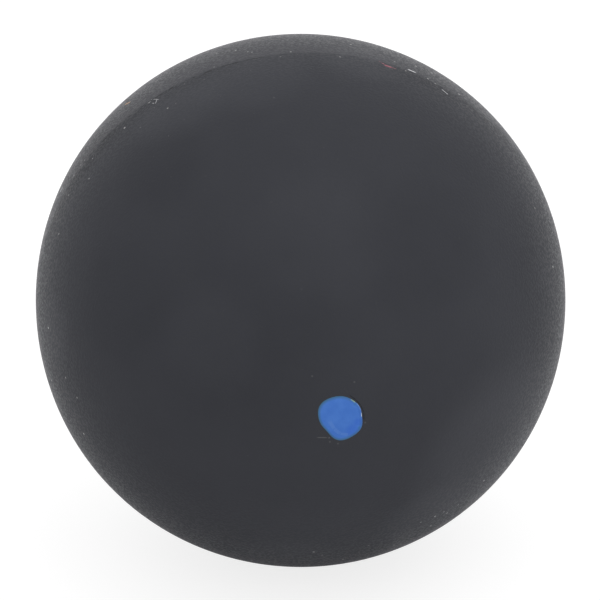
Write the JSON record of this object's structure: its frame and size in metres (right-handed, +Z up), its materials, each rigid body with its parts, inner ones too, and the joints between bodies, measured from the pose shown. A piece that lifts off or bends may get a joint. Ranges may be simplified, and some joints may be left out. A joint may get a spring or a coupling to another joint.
{
  "type": "squash ball",
  "caption": "Hollow matte rubber ball for squash, moulded in halves that are cemented at a fine seam, with a small blue paint dot beside one pole.",
  "frame": {"origin": "centre of the ball", "axes": "+Y runs through the poles of both halves, from the half with the dot to the plain one, so the seam lies in the XZ plane; +Z is up and the dot faces -Y"},
  "size_m": [0.04, 0.0401, 0.04],
  "materials": {
    "front_rubber": "matte, finely buffed",
    "rear_rubber": "matte, finely buffed",
    "cement": "matte",
    "paint": "satin paint"
  },
  "bodies": {
    "root": {"front_half_shell": "front_rubber", "rear_half_shell": "rear_rubber", "joint_adhesive": "cement", "blue_dot": "paint"}
  },
  "joints": []
}
